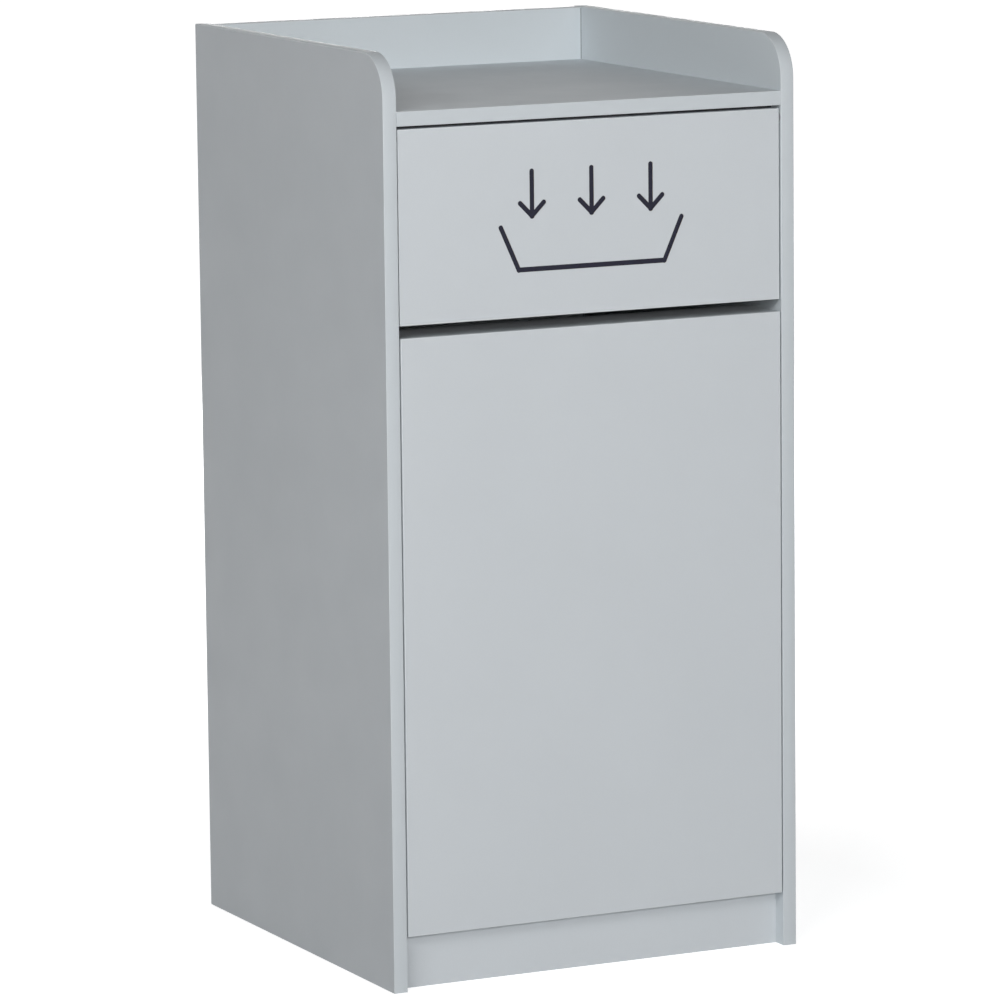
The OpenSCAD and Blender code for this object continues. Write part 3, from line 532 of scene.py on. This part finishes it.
def cut_bar(screw, centre, out, span, turn):
    """Cuts one tapered bar of a cross recess into a screw's head."""
    bpy.ops.object.select_all(action="DESELECT")
    bpy.ops.mesh.primitive_cone_add(vertices=4, radius1=span * RECESS_FOOT, radius2=span * RECESS_MOUTH,
                                    depth=2 * RECESS_DEPTH, rotation=(0, 0, math.radians(45)))
    bar = bpy.context.object
    settle()
    bar.scale = (1, RECESS_WIDTH / RECESS_SPAN, 1)
    settle()
    facing = out.to_track_quat("Z", "Y").to_matrix().to_4x4()
    bar.rotation_euler = (facing @ Matrix.Rotation(math.radians(turn), 4, "Z")).to_euler()
    bar.location = centre
    settle()
    use_modifier(screw, "BOOLEAN", operation="DIFFERENCE", object=bar, solver="EXACT")
    bpy.data.objects.remove(bar)


def driven_screws(name, out, body):
    """Screws whose heads face the way out, each with its cross recess."""
    out = Vector(out)
    merged_copy(name, "driven_" + name)
    bpy.ops.object.mode_set(mode="EDIT")
    bpy.ops.mesh.separate(type="LOOSE")
    bpy.ops.object.mode_set(mode="OBJECT")
    screws = sorted(bpy.context.selected_objects, key=lambda o: tuple(o.data.vertices[0].co))
    for number, screw in enumerate(screws):
        points = [v.co.copy() for v in screw.data.vertices]
        top = max(p.dot(out) for p in points)
        rim = [p for p in points if p.dot(out) > top - HEAD_LAYER]
        centre = sum(rim, Vector()) / len(rim)
        head = 2 * max((p - centre).length for p in rim)
        for quarter in (0, 90):
            cut_bar(screw, centre, out, head * RECESS_SPAN / 2, number * STOPPED_AT + quarter)
    only(screws[0])
    for screw in screws:
        screw.select_set(True)
    bpy.ops.object.join()
    whole = bpy.context.object
    whole.name = "driven_" + name
    smooth(30)
    take_place(whole, name, body, zinc)


driven_screws("cup_screws", (0, 1, 0), "door")
driven_screws("strike_screws", (0, 1, 0), "door")
driven_screws("plate_screws", (-1, 0, 0), "cabinet")
driven_screws("arm_screws", (-1, 0, 0), "cabinet")
driven_screws("catch_screws", (0, 0, -1), "cabinet")
driven_screws("stop_strip_screws", (0, 0, -1), "cabinet")


# The small plastic, rubber and wooden pieces: nylon bushes, the white catch housing, clear
# bumpers, the black stop strip with its foam pads, the ferrite magnet and fluted dowels.
FLOW_SCALE = 14.0
MOULDED_ROUGHNESS = (0.42, 0.58)
moulded, given, leave = effect(
    "moulded_plastic",
    [("Place", "Vector"), ("Colour", "Color"), ("Shift", "Float"), ("Texture", "Float")],
    [("Colour", "Color"), ("Roughness", "Float"), ("Height", "Float")])
flow = noise(moulded, given["Place"], FLOW_SCALE, 3.0)
stipple = noise(moulded, given["Place"], given["Texture"], 2.0, 0.6)
level = maths(moulded, "MULTIPLY_ADD", stretch(moulded, flow, 0.3, 0.7, -1.0, 1.0), given["Shift"], 1.0)
level_colour = put(moulded, "ShaderNodeCombineColor", {0: level, 1: level, 2: level}).outputs[0]
hand_out(moulded, leave, {
    "Colour": blend_colours(moulded, 1.0, given["Colour"], level_colour, "MULTIPLY"),
    "Roughness": stretch(moulded, stipple, 0.3, 0.7, *MOULDED_ROUGHNESS),
    "Height": stipple})


def plastic_material(name, colour, shift=0.03, texture=700.0, depth=0.00004):
    """Moulded plastic or rubber. The shift is its change of shade, the texture its grain's scale."""
    material, tree, shader, place = start_material(name)
    face = use_group(tree, moulded, {"Place": place, "Colour": tone(*colour), "Shift": shift,
                                     "Texture": texture})
    tree.links.new(face["Colour"], shader.inputs["Base Color"])
    tree.links.new(face["Roughness"], shader.inputs["Roughness"])
    bump(tree, shader, face["Height"], depth)
    return material


# The bushes' grey is painted shade, dark enough to sink into the shadow of the flap's gaps.
dress("flap_bushes", plastic_material("nylon_painted_shade", (108, 110, 113)))
dress("catch_housing", plastic_material("white_plastic", (228, 228, 224)))
dress("door_bumpers", plastic_material("clear_bumper", (222, 222, 216)))
# The strip is black anodised, and its navy tint is painted shade that matches the shadow seen through the gap
# above the flap.
dress("flap_stop_strip", plastic_material("anodised_strip_painted_shade", (26, 25, 36)))
dress("flap_stop_pads", plastic_material("black_foam", (24, 24, 25), 0.1, 1500.0, 0.0002))
dress("catch_magnet", plastic_material("black_ferrite", (42, 42, 45), 0.06, 1100.0, 0.00006))

BEECH_DARK = (188, 148, 106)
BEECH_LIGHT = (220, 186, 146)
RAY_SCALE = 700.0
RAY_HEIGHT = 0.00005
BEECH_ROUGHNESS = (0.55, 0.70)
material, tree, shader, place = start_material("beech")
along = put(tree, "ShaderNodeMapping", {"Vector": place, "Scale": (0.12, 1.0, 1.0)}).outputs[0]
rays = noise(tree, along, RAY_SCALE, 4.0, 0.6)
wood = blend_colours(tree, stretch(tree, rays, 0.35, 0.65), tone(*BEECH_DARK), tone(*BEECH_LIGHT))
tree.links.new(wood, shader.inputs["Base Color"])
tree.links.new(stretch(tree, rays, 0.3, 0.7, *BEECH_ROUGHNESS), shader.inputs["Roughness"])
bump(tree, shader, rays, RAY_HEIGHT)
dress("dowels", material)


# The container: one rigid moulding of dark grey polyethylene that stands on the bottom
# board, with a finely grained outside and scuffs from being drawn in and out.
CONTAINER_GREY = (74, 77, 81)
SCUFF_GREY = (128, 130, 134)
SCUFF_SCALE = 190.0
SCUFF_SHARE = 0.35
GRAIN_SCALE = 520.0
GRAIN_HEIGHT = 0.00008
CONTAINER_SHIFT = 0.04
material, tree, shader, place = start_material("container_polyethylene")
face = use_group(tree, moulded, {"Place": place, "Colour": tone(*CONTAINER_GREY),
                                 "Shift": CONTAINER_SHIFT, "Texture": GRAIN_SCALE})
drawn = put(tree, "ShaderNodeMapping", {"Vector": place, "Scale": (1.0, 0.06, 1.0)}).outputs[0]
scratches = noise(tree, drawn, SCUFF_SCALE, 5.0, 0.7)
scuffed = maths(tree, "MULTIPLY", stretch(tree, scratches, 0.62, 0.74), SCUFF_SHARE)
tree.links.new(blend_colours(tree, scuffed, face["Colour"], tone(*SCUFF_GREY)), shader.inputs["Base Color"])
tree.links.new(face["Roughness"], shader.inputs["Roughness"])
bump(tree, shader, face["Height"], GRAIN_HEIGHT)
moulding = merged_copy("inner_container", "moulded_container")
smooth(26)
use_modifier(moulding, "WEIGHTED_NORMAL", keep_sharp=True)
take_place(moulding, "inner_container", "cabinet", material)


# The studio: a white floor that keeps a faint shadow near the cabinet, and a white surround
# that the camera and the metal see. A long low lamp stands in front, a higher one to the
# left, and a weak one behind lights the sides that the photograph's view doesn't reach.
AMBIENT = 0.1
NEAR_LIFT = 0.68
NEAR_EDGE = 0.6
FAR_EDGE = 1.7
FLOOR_SIZE = 40
FLOOR_PAINT = (0.8, 0.8, 0.8, 1)
WHITE = (1, 1, 1, 1)
LAMP_WIDTH = 4.0
LAMP_HEIGHT = 1.0


def background_rays(tree):
    """One where the camera, a mirror or a clear piece looks at the background, and nought elsewhere."""
    rays = put(tree, "ShaderNodeLightPath").outputs
    indirect = maths(tree, "MAXIMUM", rays["Is Glossy Ray"], rays["Is Transmission Ray"])
    return maths(tree, "MAXIMUM", rays["Is Camera Ray"], indirect)


bpy.ops.object.select_all(action="DESELECT")
bpy.ops.mesh.primitive_plane_add(size=FLOOR_SIZE)
floor = bpy.context.object
floor.name = "studio_floor"
material = bpy.data.materials.new("white_floor")
material.use_nodes = True
tree = material.node_tree
tree.nodes.remove(tree.nodes["Principled BSDF"])
paint = put(tree, "ShaderNodeBsdfDiffuse", {"Color": FLOOR_PAINT})
place = put(tree, "ShaderNodeTexCoord").outputs["Object"]
away = put(tree, "ShaderNodeVectorMath", {0: place}, operation="LENGTH").outputs["Value"]
strength = stretch(tree, away, NEAR_EDGE, FAR_EDGE, NEAR_LIFT, 1.0)
lift = put(tree, "ShaderNodeEmission", {"Color": WHITE, "Strength": strength})
lit = put(tree, "ShaderNodeAddShader", {0: paint.outputs[0], 1: lift.outputs[0]})
choice = put(tree, "ShaderNodeMixShader", {0: background_rays(tree), 1: paint.outputs[0], 2: lit.outputs[0]})
tree.links.new(choice.outputs[0], tree.nodes["Material Output"].inputs["Surface"])
floor.data.materials.append(material)

world = bpy.data.worlds.new("white_surround")
bpy.context.scene.world = world
world.use_nodes = True
tree = world.node_tree
strength = maths(tree, "MULTIPLY_ADD", background_rays(tree), 1.0 - AMBIENT, AMBIENT)
surround = tree.nodes["Background"]
surround.inputs["Color"].default_value = WHITE
tree.links.new(strength, surround.inputs["Strength"])


def soft_lamp(name, place, aim, power):
    """A long flat soft lamp that points from its place to the aim."""
    bpy.ops.object.light_add(type="AREA", location=place)
    lamp = bpy.context.object
    lamp.name = name
    lamp.data.shape = "RECTANGLE"
    lamp.data.size = LAMP_WIDTH
    lamp.data.size_y = LAMP_HEIGHT
    lamp.data.energy = power
    lamp.rotation_euler = (Vector(aim) - Vector(place)).to_track_quat("-Z", "Y").to_euler()


FLAP_HEIGHT = (0, 0, 0.9)
DOOR_HEIGHT = (0, 0, 0.6)
soft_lamp("front_lamp", (-0.9, -6.4, 2.05), FLAP_HEIGHT, 192)
soft_lamp("high_left_lamp", (-5.0, -4.2, 3.4), FLAP_HEIGHT, 180)
soft_lamp("rear_lamp", (2.2, 5.0, 1.2), DOOR_HEIGHT, 130)
